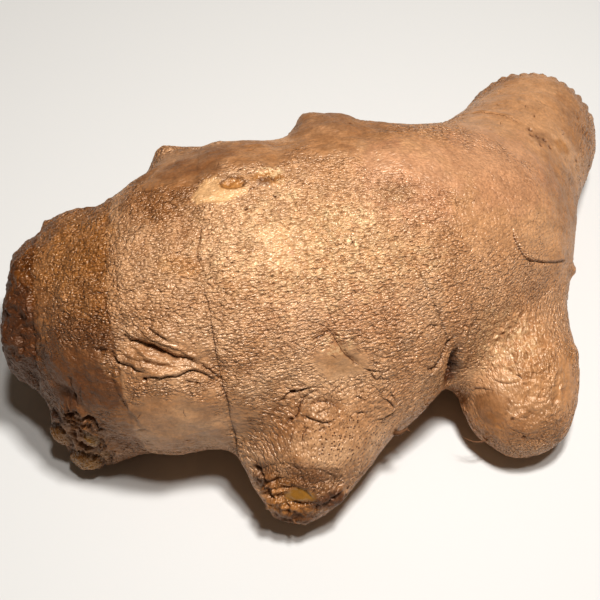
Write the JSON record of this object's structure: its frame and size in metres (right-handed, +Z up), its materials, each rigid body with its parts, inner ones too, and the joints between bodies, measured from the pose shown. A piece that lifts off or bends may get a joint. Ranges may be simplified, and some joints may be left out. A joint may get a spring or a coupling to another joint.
{
  "type": "ginger root",
  "caption": "Fresh ginger root: a fat ringed body with short rounded fingers, a blunt end and broken stubs, lying on its side.",
  "frame": {"origin": "on the table under the middle of the root's box", "axes": "+Z up from the table, +X along the body toward the two fingers at its right, +Y away from the viewer"},
  "size_m": [0.106, 0.0904, 0.0454],
  "materials": {
    "skin": "satin"
  },
  "bodies": {
    "root": {"ginger_root": "skin"}
  },
  "joints": []
}
